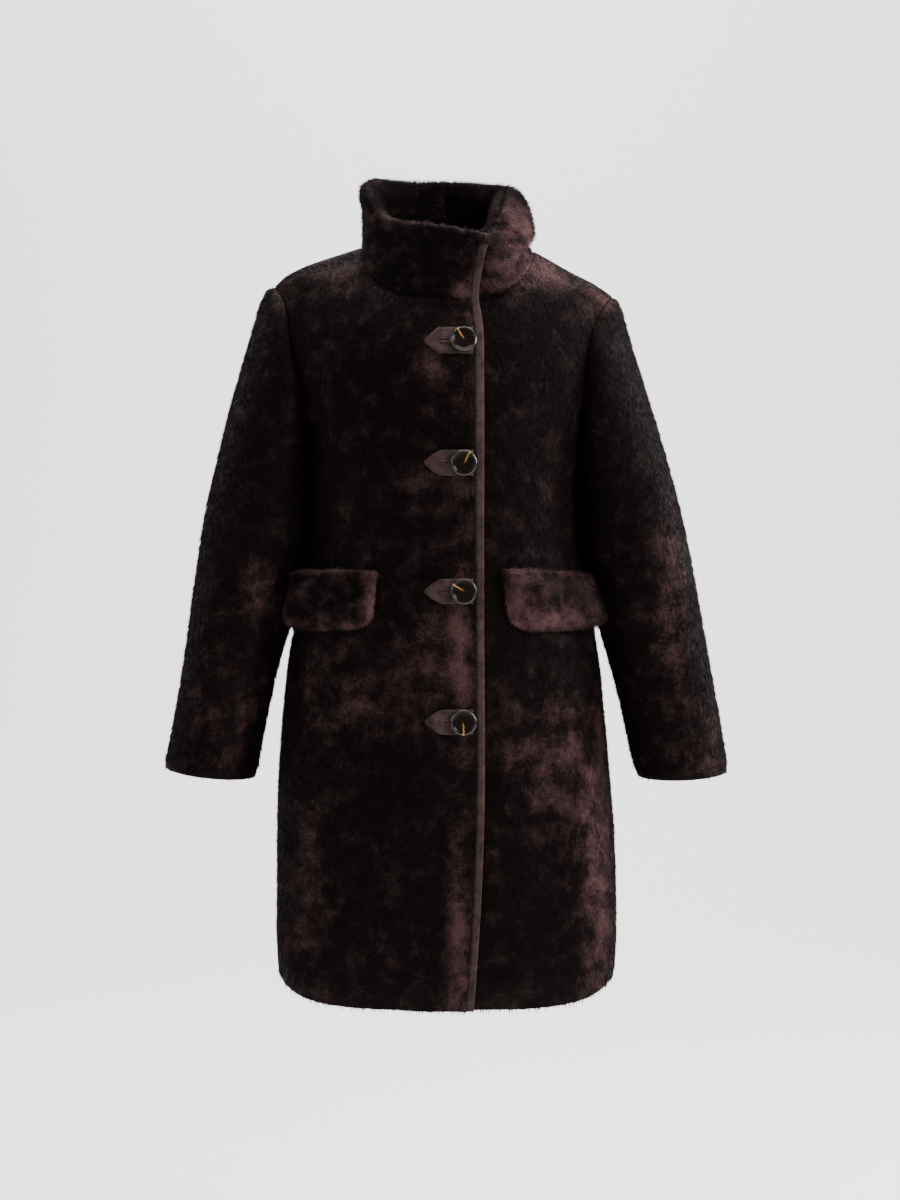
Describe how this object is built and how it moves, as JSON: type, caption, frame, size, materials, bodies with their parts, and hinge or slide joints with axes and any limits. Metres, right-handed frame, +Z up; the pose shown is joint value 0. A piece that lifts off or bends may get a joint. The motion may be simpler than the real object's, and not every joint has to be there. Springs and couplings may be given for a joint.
{
  "type": "fur coat",
  "caption": "Hollow hip-length fur coat in its worn shape, with a funnel collar, a buttoned overlapping front, pocket flaps and set-in sleeves.",
  "frame": {"origin": "between the shoulders, level with the top of the right shoulder seam, where a wearer's neck and shoulders carry the coat", "axes": "+Z up; the front faces -Y; +X is the wearer's left"},
  "size_m": [0.6725, 0.3103, 0.9611],
  "materials": {
    "dark_brown_fur": "short dense pile, soft sheen",
    "collar_fur": "short dense pile, soft sheen",
    "brown_suede": "matt suede-like",
    "dark_horn": "polished horn look"
  },
  "bodies": {
    "root": {"back": "dark_brown_fur", "front_right": "dark_brown_fur", "front_left": "dark_brown_fur", "sleeve_right": "dark_brown_fur", "sleeve_left": "dark_brown_fur", "collar_right": "collar_fur", "collar_left": "collar_fur", "flap_right": "dark_brown_fur", "flap_left": "dark_brown_fur", "edge_strip": "brown_suede", "hole_patch_1": "brown_suede", "hole_patch_2": "brown_suede", "hole_patch_3": "brown_suede", "hole_patch_4": "brown_suede", "button_1": "dark_horn", "button_2": "dark_horn", "button_3": "dark_horn", "button_4": "dark_horn"}
  },
  "joints": []
}
